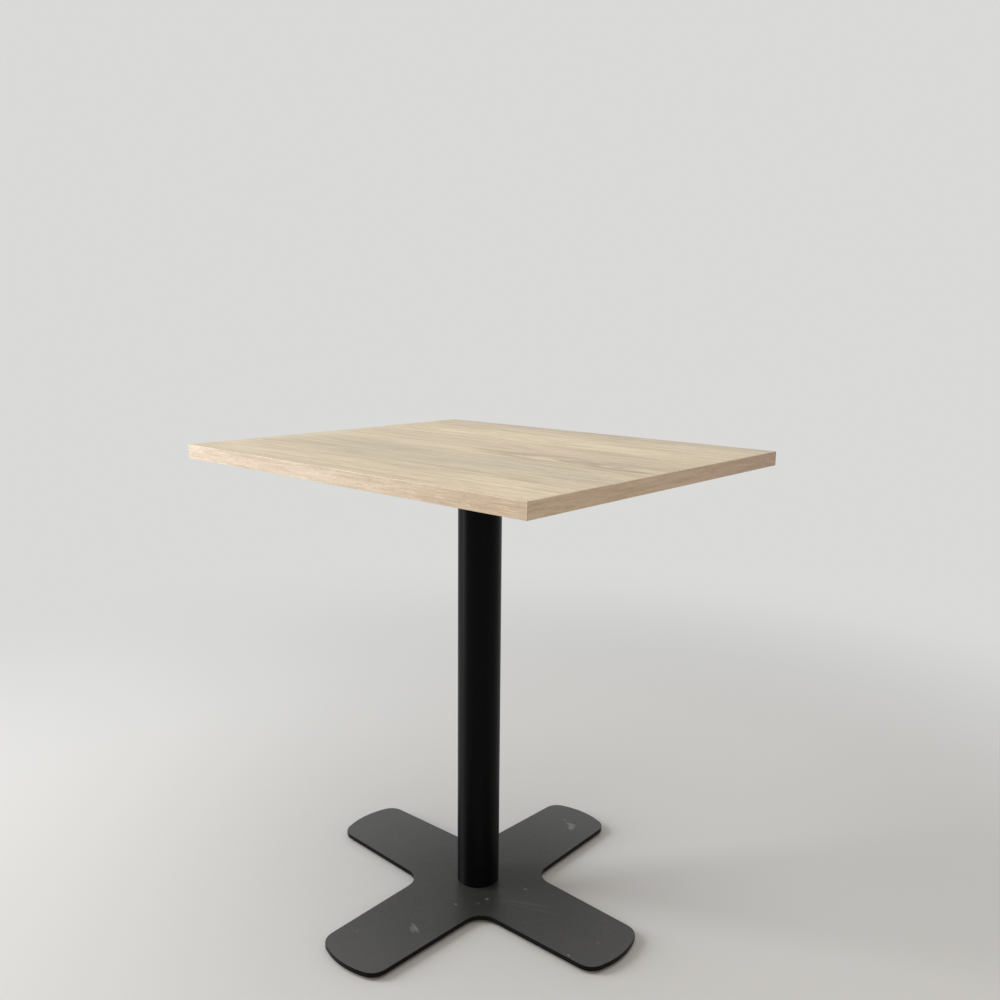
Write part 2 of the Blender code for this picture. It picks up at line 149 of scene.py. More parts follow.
# Patches of figure: colour, centre and half size along and across the grain, and strength
TOP_FIGURE = (
    (OAK_CREAM, (-0.02, 0.150), (0.64, 0.085), 0.97),
    (OAK_SAGE, (0.02, 0.305), (0.75, 0.074), 0.95),
    (OAK_PINK, (0.08, 0.045), (0.36, 0.040), 0.70),
    (OAK_TAN, (0.22, 0.090), (0.22, 0.026), 0.80),
    (OAK_PINK, (-0.14, -0.040), (0.24, 0.045), 0.60),
    (OAK_GREY, (-0.22, -0.060), (0.20, 0.040), 0.60),
    (OAK_GREY, (0.02, -0.125), (0.58, 0.100), 0.85),
    (OAK_PALE, (-0.18, -0.250), (0.22, 0.045), 0.25),
    (OAK_CREAM, (0.25, -0.255), (0.23, 0.080), 0.75),
    (OAK_PALE, (-0.37, -0.100), (0.09, 0.340), 0.75),
    (OAK_STREAK, (0.300, -0.036), (0.085, 0.013), 1.00),
    (OAK_STREAK, (0.220, -0.008), (0.065, 0.011), 0.50),
    (OAK_STREAK, (0.075, -0.012), (0.090, 0.012), 0.60),
    (OAK_STREAK, (0.310, 0.004), (0.060, 0.005), 0.60),
    (OAK_STREAK, (0.080, -0.072), (0.130, 0.006), 0.50),
    (OAK_STREAK, (-0.220, -0.090), (0.070, 0.008), 0.50),
)
# The bands' patches are painted shade: the long bands darker and warmer towards +X, the short ones
# towards +Y
LONG_BAND_SHADE_FIGURE = ((BAND_SHADE_TAN, (0.43, 0.739), (0.50, 0.060), 1.00),)
SHORT_BAND_SHADE_FIGURE = ((BAND_SHADE_ROSE, (0.40, 0.739), (0.58, 0.080), 0.95),)
PATCH_EDGE = (0.35, 1.30)
PATCH_WANDER = 0.5

# Grain: how often it repeats along and across, and how strong its lines and its flecks are
TOP_GRAIN = (1.0, 1.0, 1.0, 0.85)
LONG_BAND_GRAIN = (2.0, 2.5, 1.15, 0.25)
SHORT_BAND_GRAIN = (2.0, 1.8, 0.82, 0.30)

# Bands: finish, the axis that the grain follows, figure with its painted shade, grain and sides of the
# top
BANDS = (
    ("oak_band_long", "X", LONG_BAND_SHADE_FIGURE, LONG_BAND_GRAIN, ("front", "back")),
    ("oak_band_short", "Y", SHORT_BAND_SHADE_FIGURE, SHORT_BAND_GRAIN, ("left", "right")),
)

# Sway of the grain: how often it wanders along and across, and how far
SLOW_SWAY = (1.6, 5.0)
SLOW_SWAY_REACH = 0.020
QUICK_SWAY = (9.0, 40.0)
QUICK_SWAY_REACH = 0.0030

# Layers of grain: how often each repeats along and across, its detail and its roughness
BROAD_LAYER = (1.2, 13.0, 3.0, 0.55)
TINT_LAYER = (3.2, 26.0, 3.0, 0.50)
BLUSH_LAYER = (5.0, 45.0, 2.0, 0.50)
RING_LAYER = (3.5, 75.0, 4.0, 0.62)
LINE_LAYER = (3.0, 260.0, 4.0, 0.60)
FLECK_LAYER = (5.5, 62.0, 3.0, 0.50)
STROKE_LAYER = (13.0, 150.0, 3.0, 0.60)
FIBRE_LAYER = (34.0, 420.0, 3.0, 0.65)
PORE_LAYER = (60.0, 1500.0, 1.0, 0.50)

# Marks of the layers: the noise where each starts, the noise where it is full, and its share
BROAD_LIGHT = (0.38, 0.62, 1.00)
TINT_PINK = (0.52, 0.70, 0.65)
BLUSH_YELLOW = (0.54, 0.70, 0.55)
FLECK_DARK = (0.50, 0.66, 0.50)
FLECK_LIGHT = (0.50, 0.34, 0.55)
RING_DARK = (0.47, 0.68, 0.42)
LINE_DARK = (0.48, 0.68, 0.50)
STROKE_DARK = (0.50, 0.70, 0.48)
STROKE_LIGHT = (0.48, 0.31, 0.60)
FIBRE_DARK = (0.50, 0.72, 0.56)
FIBRE_LIGHT = (0.46, 0.30, 0.45)
PORE_RANGE = (0.60, 0.70)
PORE_DARK = (*PORE_RANGE, 0.40)

# Calm: where the top's lines are faint, and what is left of them there
CALM_CENTRE = (-0.24, -0.12)
CALM_SIZE = (0.36, 0.24)
CALM_EDGE = (0.3, 1.2)
CALM_SHARE = 0.6

# Flame: where the top's rings arch, and the shape of the arches
FLAME_CENTRE = (0.27, -0.020)
FLAME_SIZE = (0.28, 0.055)
FLAME_EDGE = (0.45, 1.15)
FLAME_BLUNTNESS = 0.05
FLAME_LEAN = -0.55
FLAME_WANDER = 0.35
FLAME_STRETCH = (7.0, 1.2, 1)
FLAME_NOISE = (1.0, 3.0, 0.6)
FLAME_DARK = (0.42, 0.58)

# Wear and painted highlight on the bands' edges: lighter where they face up or sideways,
# as rubbed wear and as a painted highlight where light catches them.
# How square a facet is to an axis where this starts and where it is full, its facing, and its range of
# strength
WORN_HIGHLIGHT_SQUARENESS = (0.995, 0.970)
WORN_HIGHLIGHT_FACING = (-0.3, 0.1)
WORN_HIGHLIGHT_STRENGTH = (0.35, 0.65)

# Black coats: dark and light colour, roughness and specular
COLUMN_BLACK = (0.0005, 0.0005, 0.0006)
COLUMN_BLACK_LIGHT = (0.0010, 0.0010, 0.0012)
COAT_BLACK = (0.005, 0.005, 0.0053)
COAT_BLACK_LIGHT = (0.016, 0.016, 0.0165)
# The plate's sides: darker and less glossy than the coat on top, as painted shade
SHADED_SIDE_BLACK = (0.003, 0.003, 0.0032)
COLUMN_COAT = (COLUMN_BLACK, COLUMN_BLACK_LIGHT, (0.37, 0.43), 0.082)
BRACKET_COAT = (COAT_BLACK, COAT_BLACK_LIGHT, (0.42, 0.52), 0.4)
SHADED_SIDE_COAT = (SHADED_SIDE_BLACK, COAT_BLACK, (0.28, 0.36), 0.09)
COLUMN_ANISOTROPY = 0.8
COLUMN_ANISOTROPY_TURN = 0.25
SMEAR_STRETCH = (7, 7, 4)
SMEAR_NOISE = (1.0, 4.0, 0.6)
GRIT_NOISE = (1600.0, 1.0)
GRIT_HEIGHT = 0.4
PEBBLE_SCALE = 420.0
COAT_BUMP = 0.00008

# Dust, painted shade and painted sheen on the base plate: its greys, darker near the column as painted
# shadow and painted dark reflection, and lighter away from it, most to the left, as thicker dust and
# painted sheen
DUST_SHADE_GREY = (0.024, 0.024, 0.0240)
DUST_AND_SHEEN_GREY = (0.076, 0.076, 0.0760)
DUST_SHADE_CENTRE = (0.08, 0.012)
DUST_SHADE_REACH = (0.0, 0.45)
DUST_FACING = (0.55, 0.97)
DUST_SMEAR = 0.10
DUST_FLECK = 0.16
ONE_METRE = (1, 1)

# Wear on the base plate: its sheen, the scuffs' grey and edges, the rubbed rim and loose bits of dust
BASE_SPECULAR = 0.26
BASE_ROUGHNESS = (0.26, 0.36)
SCUFF_GREY = (0.190, 0.190, 0.187)
SCUFF_ROUGHNESS = 0.25
SCUFF_FACING = (0.15, 0.45)
SCUFF_EDGE = (0.45, 1.05)
SPECK_EDGE = (0.35, 1.05)
RAGGED_NOISE = (260.0, 3.0, 0.65)
RAGGEDNESS = 1.2
RIM_FACING_LOW = (0.35, 0.75)
RIM_FACING_HIGH = (0.97, 0.80)
RIM_NOISE = (55.0, 4.0)
RIM_WEAR = (0.48, 0.66, 0.45)
BIT_SCALE = 55.0
BIT_MARK = (0.085, 0.04, 0.30)

# Marks on the base plate: place, half size, turn in degrees and strength
SCUFFS = (
    ((0.0125, 0.2430), (0.0140, 0.0050), 6, 0.80),
    ((0.0190, 0.2355), (0.0115, 0.0065), -58, 0.85),
    ((-0.0060, 0.2480), (0.0090, 0.0024), -12, 0.45),
    ((0.0235, -0.1690), (0.0140, 0.0040), -20, 0.65),
    ((0.0230, -0.1735), (0.0100, 0.0055), -40, 0.45),
    ((0.1060, -0.0050), (0.0460, 0.0050), 28, 0.09),
    ((0.1260, -0.0080), (0.0520, 0.0035), 23, 0.06),
    ((0.2400, -0.0580), (0.0035, 0.0020), -3, 0.80),
    ((0.2800, -0.0580), (0.0080, 0.0016), 35, 0.70),
)

# Specks on the base plate: place, radius and strength
SPECKS = (
    ((0.0840, 0.0260), 0.0034, 0.60),
    ((0.0740, 0.0275), 0.0020, 0.40),
    ((0.0550, -0.0375), 0.0040, 0.50),
    ((0.0530, -0.0560), 0.0028, 0.35),
    ((0.0275, -0.0825), 0.0034, 0.55),
    ((0.2560, -0.0050), 0.0022, 0.35),
    ((-0.0370, -0.2350), 0.0024, 0.35),
    ((-0.1950, -0.0140), 0.0022, 0.30),
)

# Metals: dark and light colours, and roughness
BARE_STEEL = (((0.30, 0.30, 0.31), (0.42, 0.42, 0.43)), (0.40, 0.55))
STUD_STEEL = (((0.46, 0.46, 0.45), (0.62, 0.62, 0.60)), (0.30, 0.44))
BRIGHT_ZINC = (((0.52, 0.52, 0.50), (0.70, 0.70, 0.67)), (0.28, 0.42))
BLACK_ZINC = (((0.07, 0.07, 0.075), (0.12, 0.12, 0.13)), (0.34, 0.48))
METAL_STRETCH = (300, 300, 60)
METAL_NOISE = (1.0, 4.0, 0.65)
METAL_BUMP = 0.00003

# Chipboard, backing sheet, glue and nylon
CHIP_COLOURS = ((0.36, 0.24, 0.12), (0.62, 0.46, 0.27))
CHIP_ROUGHNESS = 0.9
CHIP_STRETCH = (1.0, 1.0, 2.5)
CHIP_SCALE = 300.0
CHIP_BUMP = 0.0003
SHEET_COLOURS = ((0.52, 0.51, 0.48), (0.58, 0.57, 0.54))
SHEET_ROUGHNESS = (0.46, 0.58)
SHEET_SPECULAR = 0.4
SHEET_NOISE = (60.0, 5.0, 0.65)
SHEET_MOTTLE = (0.35, 0.65)
SHEET_FIBRE_STRETCH = (40, 900, 1)
SHEET_BUMP = 0.00004
GLUE_COLOURS = ((0.50, 0.43, 0.31), (0.62, 0.55, 0.42))
GLUE_ROUGHNESS = (0.5, 0.65)
GLUE_SPECULAR = 0.3
GLUE_NOISE = (120.0, 3.0)
GLUE_RIPPLE_SCALE = 900.0
GLUE_BUMP = 0.00003
NYLON_COLOURS = ((0.014, 0.014, 0.014), (0.024, 0.024, 0.023))
NYLON_ROUGHNESS = (0.48, 0.62)
NYLON_SPECULAR = 0.4
NYLON_NOISE = (90.0, 3.0)
NYLON_GRAIN_NOISE = (2600.0, 1.0)
NYLON_BUMP = 0.00005

# Fine shapes
COLUMN_STEPS = 128
COLUMN_WALL = 0.0025
COLUMN_ARRIS = 0.0006
FASTENER_STEPS = 48
PAD_STEPS = 96
ARC_STEPS = 5
ROWS_PER_TURN = 10
THREAD_FLANK = 1.6
THREAD_ROOT = 0.4
GLUE_CLEARANCE = 0.00005
GLUE_DEPTH = 0.0001

BOLT_DIAMETER = 0.008
BOLT_PITCH = 0.00125
BOLT_THREAD_DEPTH = 0.0006
BOLT_HEAD_DIAMETER = 0.016
BOLT_SOCKET_WIDTH = 0.005
BOLT_SOCKET_DEPTH = 0.003
BOLT_HEAD_RIM = 0.0003
BOLT_END_CHAMFER = 0.001

SCREW_DIAMETER = 0.005
SCREW_PITCH = 0.0022
SCREW_THREAD_DEPTH = 0.0009
SCREW_POINT = 0.005
SCREW_TIP_SHARE = 0.25
SCREW_HEAD_DIAMETER = 0.0095
SCREW_HEAD_HEIGHT = 0.0030
SCREW_HEAD_RIM = 0.0010
SCREW_RECESS_SPAN = 0.0046
SCREW_RECESS_WIDTH = 0.0012
SCREW_RECESS_DEPTH = 0.0018
SCREW_RECESS_TAPER = 0.7
SCREW_RECESS_CONE = 0.00025

STUD_END_CHAMFER = 0.0008
FLANGE_WIDTH = 0.014
FLANGE_THICKNESS = 0.0016
FLANGE_CHAMFER = 0.0004
FLANGE_RISE = 0.0037
NECK_DIAMETER = 0.0060
BUTTON_DIAMETER = 0.0092
BUTTON_THICKNESS = 0.0007

PAD_FLOOR = 0.0007
PAD_LIP = 0.0008
PAD_EDGE = 0.0006
PAD_CHAMBER_RADIUS = 0.0049
PAD_MOUTH_RADIUS = 0.0033
SOLE_RADIUS = 0.0125
SOLE_DEPTH = 0.0002

# Shading of the copied solids
LOOKS_UP = 0.5
WELD_DISTANCE = 1e-6
FLAT_ANGLE = math.radians(0.3)
SHARP_ANGLE = math.radians(32)


class Nodes:
    """Short ways to add the nodes of a tree and join them."""

    def __init__(self, tree):
        self.tree = tree

    def feed(self, socket, value):
        """Links an input to an output, or sets it to a plain value."""
        if isinstance(value, bpy.types.NodeSocket):
            self.tree.links.new(value, socket)
        elif socket.type == "RGBA":
            socket.default_value = (*value, 1.0)
        else:
            socket.default_value = value

    def add(self, kind, sockets, **settings):
        """A new node with its inputs and settings."""
        node = self.tree.nodes.new("ShaderNode" + kind)
        for name, value in settings.items():
            setattr(node, name, value)
        for socket, value in sockets.items():
            self.feed(node.inputs[socket], value)
        return node

    def place(self):
        """The piece's own coordinates, in metres."""
        return self.add("TexCoord", {}).outputs["Object"]

    def flat_place(self, first, second):
        """Two of the piece's own coordinates, with the third left at zero."""
        parts = self.parts(self.place())
        return self.add("CombineXYZ", {"X": parts[first], "Y": parts[second]}).outputs[0]

    def parts(self, vector):
        return self.add("SeparateXYZ", {"Vector": vector}).outputs

    def vector(self, operation, first, second):
        return self.add("VectorMath", {0: first, 1: second}, operation=operation).outputs[0]

    def stretch(self, vector, scale):
        return self.vector("MULTIPLY", vector, scale)

    def length(self, vector):
        return self.add("VectorMath", {0: vector}, operation="LENGTH").outputs["Value"]

    def noise(self, vector, scale=1.0, detail=2.0, roughness=0.5):
        sockets = {"Vector": vector, "Scale": scale, "Detail": detail, "Roughness": roughness}
        return self.add("TexNoise", sockets).outputs["Fac"]

    def cells(self, vector, scale, output="Distance"):
        return self.add("TexVoronoi", {"Vector": vector, "Scale": scale}).outputs[output]

    def math(self, operation, first, second=0.0):
        return self.add("Math", {0: first, 1: second}, operation=operation).outputs[0]

    def span(self, value, low, high, to_low=0.0, to_high=1.0):
        """The value eased from one range to another and held at its ends."""
        sockets = {"Value": value, "From Min": low, "From Max": high, "To Min": to_low, "To Max": to_high}
        return self.add("MapRange", sockets, interpolation_type="SMOOTHSTEP").outputs["Result"]

    def mark(self, value, start, full, share, strength=1.0):
        """0 where the value starts a mark, and the mark's share of a strength where it is full."""
        if isinstance(strength, bpy.types.NodeSocket):
            most = self.math("MULTIPLY", strength, share)
        else:
            most = strength * share
        return self.span(value, start, full, 0.0, most)

    def mix(self, factor, first, second):
        node = self.add("Mix", {}, data_type="RGBA")
        self.feed(node.inputs[MIX_FACTOR], factor)
        self.feed(node.inputs[MIX_FIRST], first)
        self.feed(node.inputs[MIX_SECOND], second)
        return node.outputs[MIX_RESULT]

    def sway(self, place, scale, reach):
        """Coordinates whose second axis wanders by a noise of this scale."""
        drift = self.math("SUBTRACT", self.noise(self.stretch(place, scale)), NOISE_MEAN)
        drift = self.math("MULTIPLY", drift, reach)
        return self.vector("ADD", place, self.add("CombineXYZ", {"Y": drift}).outputs[0])

    def within(self, place, centre, half_size, turn=0.0):
        """Coordinates from an ellipse's centre along its axes, with 1 at its rim."""
        moved = self.vector("SUBTRACT", place, (*centre, 0))
        sockets = {"Vector": moved, "Angle": -turn}
        turned = self.add("VectorRotate", sockets, rotation_type="Z_AXIS").outputs[0]
        return self.stretch(turned, (1 / half_size[0], 1 / half_size[1], 0))

    def reach(self, place, centre, half_size, turn=0.0):
        """The distance from an ellipse's centre: 1 at its rim."""
        return self.length(self.within(place, centre, half_size, turn))

    def facing(self):
        """How far a face looks up: 1 when it is level, 0 when it is upright."""
        return self.parts(self.add("NewGeometry", {}).outputs["Normal"])["Z"]

    def edges(self):
        """1 on the facets of an eased edge, 0 on the flat sides that it joins."""
        facet = self.add("NewGeometry", {}).outputs["True Normal"]
        sizes = self.parts(self.add("VectorMath", {0: facet}, operation="ABSOLUTE").outputs[0])
        most = self.math("MAXIMUM", self.math("MAXIMUM", sizes["X"], sizes["Y"]), sizes["Z"])
        return self.span(most, *WORN_HIGHLIGHT_SQUARENESS)

    def seen_directly(self):
        """1 for rays that show the backdrop itself: from the camera, in gloss and through glass."""
        rays = self.add("LightPath", {}).outputs
        seen = self.math("MAXIMUM", rays["Is Camera Ray"], rays["Is Glossy Ray"])
        return self.math("MAXIMUM", seen, rays["Is Transmission Ray"])


class Finish(Nodes):
    """A material in the making, with its shader."""

    def __init__(self, name, sockets):
        self.material = bpy.data.materials.new(name)
        self.material.use_nodes = True
        super().__init__(self.material.node_tree)
        self.shader = self.tree.nodes["Principled BSDF"]
        self.set(sockets)

    def set(self, sockets):
        for name, value in sockets.items():
            self.feed(self.shader.inputs[name], value)

    def vary(self, noise, colours, roughness):
        """Lets a noise change the colour and the roughness together."""
        self.set({"Base Color": self.mix(noise, *colours)})
        self.set({"Roughness": self.span(noise, *NOISE_RANGE, *roughness)})

    def bump(self, height, distance):
        sockets = {"Height": height, "Distance": distance}
        self.set({"Normal": self.add("Bump", sockets).outputs["Normal"]})


def oak(name, along, across, colours, figure, grain, flame=None, calm=None, rubbed_highlight=None):
    """Pale oak decor with its grain along one axis and patches of figure at their own places.

    The flame is where its rings arch, the calm is where its lines are faint,
    and the rubbed colour lightens its upper edges, as wear and as a painted highlight.
    """
    finish = Finish(name, {"Specular IOR Level": OAK_SPECULAR})
    run, fine, strength, fleck = grain
    middle, light, dark, pink, yellow = colours
    place = finish.sway(finish.flat_place(along, across), (*SLOW_SWAY, 1), SLOW_SWAY_REACH)
    place = finish.sway(place, (QUICK_SWAY[0] * run, QUICK_SWAY[1], 1), QUICK_SWAY_REACH)
    if calm:
        strength = finish.span(finish.reach(place, *calm), *CALM_EDGE, CALM_SHARE * strength, strength)

    def layer(often_along, often_across, detail, roughness, narrow=fine):
        stretched = finish.stretch(place, (often_along * run, often_across * narrow, 1))
        return finish.noise(stretched, detail=detail, roughness=roughness)

    broad = layer(*BROAD_LAYER, narrow=1)
    tint = layer(*TINT_LAYER)
    blush = layer(*BLUSH_LAYER)
    rings = layer(*RING_LAYER)
    lines = layer(*LINE_LAYER)
    flecks = layer(*FLECK_LAYER)
    strokes = layer(*STROKE_LAYER)
    fibres = layer(*FIBRE_LAYER)
    pores = layer(*PORE_LAYER, narrow=1)

    colour = finish.mix(finish.mark(broad, *BROAD_LIGHT), middle, light)
    colour = finish.mix(finish.mark(tint, *TINT_PINK), colour, pink)
    colour = finish.mix(finish.mark(blush, *BLUSH_YELLOW), colour, yellow)
    wander = finish.math("MULTIPLY", tint, PATCH_WANDER)
    # Patches: the top's figure, and on the bands painted shade towards one end
    for patch, centre, half_size, share in figure:
        away = finish.math("ADD", finish.reach(place, centre, half_size), wander)
        colour = finish.mix(finish.span(away, *PATCH_EDGE, share, 0.0), colour, patch)

    colour = finish.mix(finish.mark(flecks, *FLECK_DARK, fleck), colour, dark)
    colour = finish.mix(finish.mark(flecks, *FLECK_LIGHT, fleck), colour, light)
    shade = finish.mark(rings, *RING_DARK, strength)
    if flame:
        shade = finish.math("MAXIMUM", shade, flame_figure(finish, place, tint, *flame))
    colour = finish.mix(shade, colour, dark)
    marks = (
        (lines, LINE_DARK, dark),
        (strokes, STROKE_DARK, dark),
        (strokes, STROKE_LIGHT, light),
        (fibres, FIBRE_DARK, dark),
        (fibres, FIBRE_LIGHT, light),
        (pores, PORE_DARK, OAK_PORE),
    )
    for noise, limits, tone in marks:
        colour = finish.mix(finish.mark(noise, *limits, strength), colour, tone)
    # Rubbed edges: wear, and a painted highlight on the edges that face up or sideways
    if rubbed_highlight:
        worn = finish.math("MULTIPLY", finish.edges(), finish.span(broad, *NOISE_RANGE, *WORN_HIGHLIGHT_STRENGTH))
        upper = finish.span(finish.facing(), *WORN_HIGHLIGHT_FACING)
        colour = finish.mix(finish.math("MULTIPLY", worn, upper), colour, rubbed_highlight)

    finish.set({"Base Color": colour, "Roughness": finish.span(rings, *NOISE_RANGE, *OAK_ROUGHNESS)})
    ridges = finish.math("MULTIPLY", fibres, FIBRE_HEIGHT)
    finish.bump(finish.math("SUBTRACT", ridges, finish.span(pores, *PORE_RANGE)), OAK_BUMP)
    return finish


def flame_figure(finish, place, wander, centre, half_size):
    """Nested arches of dark growth rings about a line along the grain."""
    inside = finish.within(place, centre, half_size)
    split = finish.parts(inside)
    square = finish.math("MULTIPLY", split["Y"], split["Y"])
    side = finish.math("SQRT", finish.math("ADD", square, FLAME_BLUNTNESS))
    arch = finish.math("ADD", side, finish.math("MULTIPLY", split["X"], FLAME_LEAN))
    arch = finish.math("ADD", arch, finish.math("MULTIPLY", wander, FLAME_WANDER))
    spread = finish.add("CombineXYZ", {"X": arch, "Y": split["X"]}).outputs[0]
    lines = finish.noise(finish.stretch(spread, FLAME_STRETCH), *FLAME_NOISE)
    near = finish.span(finish.length(inside), *FLAME_EDGE, 1.0, 0.0)
    return finish.math("MULTIPLY", finish.span(lines, *FLAME_DARK), near)


def smears(finish, place):
    """Broad soft smears in a coat."""
    return finish.noise(finish.stretch(place, SMEAR_STRETCH), *SMEAR_NOISE)


def pebbles(finish, place):
    """The fine relief of a powder coat."""
    grit = finish.math("MULTIPLY", finish.noise(place, *GRIT_NOISE), GRIT_HEIGHT)
    return finish.math("ADD", grit, finish.noise(place, PEBBLE_SCALE))


def powder_coat(name, dark, light, roughness, specular):
    """A stoved powder coat: a fine pebbled skin with faint smears."""
    finish = Finish(name, {"Specular IOR Level": specular})
    place = finish.place()
    smear = smears(finish, place)
    finish.set({"Base Color": finish.mix(finish.span(smear, *NOISE_RANGE), dark, light)})
    finish.set({"Roughness": finish.span(smear, *NOISE_WIDE, *roughness)})
    finish.bump(pebbles(finish, place), COAT_BUMP)
    return finish


def worn_and_shaded_coat():
    """The base plate's black coat, greyed by feet and dust where it faces up, with its scuffs, and with
    painted shade near the column and painted sheen away from it.
    """
    finish = Finish("base_coat", {"Specular IOR Level": BASE_SPECULAR})
    place = finish.place()
    flat = finish.flat_place("X", "Y")
    facing = finish.facing()
    smear = smears(finish, place)
    ragged = finish.math("SUBTRACT", finish.noise(place, *RAGGED_NOISE), NOISE_MEAN)
    ragged = finish.math("MULTIPLY", ragged, RAGGEDNESS)

    smudge = finish.math("MULTIPLY", smear, DUST_SMEAR)
    away = finish.math("ADD", finish.reach(flat, DUST_SHADE_CENTRE, ONE_METRE), smudge)
    away = finish.math("ADD", away, finish.math("MULTIPLY", ragged, DUST_FLECK))
    # Painted shadow and reflection: darker near the column; painted sheen: lighter to the left; dust over
    # both
    dust_and_shade = finish.mix(finish.span(away, *DUST_SHADE_REACH), DUST_SHADE_GREY, DUST_AND_SHEEN_GREY)
    dusty = finish.span(facing, *DUST_FACING)
    colour = finish.mix(dusty, COAT_BLACK, dust_and_shade)

    rim = finish.span(facing, *RIM_FACING_LOW)
    rim = finish.math("MULTIPLY", rim, finish.span(facing, *RIM_FACING_HIGH))
    worn = finish.math("MULTIPLY", rim, finish.mark(finish.noise(place, *RIM_NOISE), *RIM_WEAR))
    for centre, half_size, turn, strength in SCUFFS:
        away = finish.math("ADD", finish.reach(flat, centre, half_size, math.radians(turn)), ragged)
        worn = finish.math("MAXIMUM", worn, finish.span(away, *SCUFF_EDGE, strength, 0.0))
    for centre, radius, strength in SPECKS:
        away = finish.math("ADD", finish.reach(flat, centre, (radius, radius)), ragged)
        worn = finish.math("MAXIMUM", worn, finish.span(away, *SPECK_EDGE, strength, 0.0))
    bits = finish.mark(finish.cells(place, BIT_SCALE), *BIT_MARK)
    worn = finish.math("MAXIMUM", worn, finish.math("MULTIPLY", bits, dusty))
    worn = finish.math("MULTIPLY", worn, finish.span(facing, *SCUFF_FACING))
    finish.set({"Base Color": finish.mix(worn, colour, SCUFF_GREY)})

    rough = finish.span(smear, *NOISE_WIDE, *BASE_ROUGHNESS)
    rough = finish.math("ADD", rough, finish.math("MULTIPLY", worn, SCUFF_ROUGHNESS))
    finish.set({"Roughness": rough})
    finish.bump(finish.math("SUBTRACT", pebbles(finish, place), worn), COAT_BUMP)
    return finish


def metal(name, colours, roughness):
    """Plated or sawn metal with faint streaks."""
    finish = Finish(name, {"Metallic": 1.0})
    streak = finish.noise(finish.stretch(finish.place(), METAL_STRETCH), *METAL_NOISE)
    finish.vary(streak, colours, roughness)
    finish.bump(streak, METAL_BUMP)
    return finish


def chipboard():
    """Pressed chips, each with a shade of its own."""
    finish = Finish("chipboard", {"Roughness": CHIP_ROUGHNESS})
    place = finish.stretch(finish.place(), CHIP_STRETCH)
    chips = finish.cells(place, CHIP_SCALE, "Color")
    shade = finish.add("SeparateColor", {"Color": chips}).outputs["Red"]
    finish.set({"Base Color": finish.mix(shade, *CHIP_COLOURS)})
    finish.bump(finish.cells(place, CHIP_SCALE), CHIP_BUMP)
    return finish


def backing_sheet():
    """A plain pale balancing sheet with a faint paper mottle."""
    finish = Finish("backing_sheet", {"Specular IOR Level": SHEET_SPECULAR})
    place = finish.place()
    mottle = finish.noise(place, *SHEET_NOISE)
    finish.set({"Base Color": finish.mix(finish.span(mottle, *SHEET_MOTTLE), *SHEET_COLOURS)})
    finish.set({"Roughness": finish.span(mottle, *NOISE_RANGE, *SHEET_ROUGHNESS)})
    finish.bump(finish.noise(finish.stretch(place, SHEET_FIBRE_STRETCH)), SHEET_BUMP)
    return finish


def glue():
    """The ivory line of hot-melt glue behind the edge bands."""
    finish = Finish("glue", {"Specular IOR Level": GLUE_SPECULAR})
    place = finish.place()
    finish.vary(finish.noise(place, *GLUE_NOISE), GLUE_COLOURS, GLUE_ROUGHNESS)
    finish.bump(finish.noise(place, GLUE_RIPPLE_SCALE), GLUE_BUMP)
    return finish


def nylon():
    """Black moulded nylon with a finely grained skin."""
    finish = Finish("black_nylon", {"Specular IOR Level": NYLON_SPECULAR})
    place = finish.place()
    finish.vary(finish.noise(place, *NYLON_NOISE), NYLON_COLOURS, NYLON_ROUGHNESS)
    finish.bump(finish.noise(place, *NYLON_GRAIN_NOISE), NYLON_BUMP)
    return finish


def mesh_of(shape, name):
    """A finished mesh, smooth but for its sharp edges."""
    bmesh.ops.recalc_face_normals(shape, faces=shape.faces)
    mesh = bpy.data.meshes.new(name)
    shape.to_mesh(mesh)
    shape.free()
    mesh.shade_smooth()
    mesh.set_sharp_from_angle(angle=SHARP_ANGLE)
    return mesh


def joined_copy(node):
    """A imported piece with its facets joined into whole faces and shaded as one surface."""
    source = NODES[node].data
    shape = bmesh.new()
    points = [shape.verts.new(point.co) for point in source.vertices]
    for facet in source.polygons:
        shape.faces.new([points[index] for index in facet.vertices])
    bmesh.ops.remove_doubles(shape, verts=shape.verts, dist=WELD_DISTANCE)
    bmesh.ops.dissolve_limit(shape, angle_limit=FLAT_ANGLE, verts=shape.verts, edges=shape.edges)
    return mesh_of(shape, f"{node}_skin")


def spun(name, rings, steps, place, closed=False):
    """A mesh through rings about an axis.

    A ring is a function that gives its radius and height at an angle, or just the height of a pole.
    """
    shape = bmesh.new()
    loops = []
    for ring in rings:
        if not callable(ring):
            loops.append([shape.verts.new(place @ Vector((0, 0, ring)))])
            continue
        loop = []
        for step in range(steps):
            angle = 2 * math.pi * step / steps
            radius, height = ring(angle)
            point = Vector((radius * math.cos(angle), radius * math.sin(angle), height))
            loop.append(shape.verts.new(place @ point))
        loops.append(loop)
    following = loops[1:] + loops[:1] if closed else loops[1:]
    for upper, lower in zip(loops, following):
        for step in range(steps):
            after = step + 1
            corners = [upper[step % len(upper)], lower[step % len(lower)]]
            corners += [lower[after % len(lower)], upper[after % len(upper)]]
            shape.faces.new(list(dict.fromkeys(corners)))
    return mesh_of(shape, name)


def ring(radius, height):
    """A round ring."""
    return lambda angle: (radius, height)


def shaped(radius_at, height, most=math.inf):
    """A ring whose radius changes with the angle, up to a largest radius."""
    return lambda angle: (min(radius_at(angle), most), height)


def rounded(radius, height, edge, start):
    """Rings down a quarter-round edge, from an angle at which its arc starts."""
    turns = [start - math.pi / 2 * index / ARC_STEPS for index in range(ARC_STEPS + 1)]
    return [ring(radius + edge * math.cos(turn), height + edge * math.sin(turn)) for turn in turns]


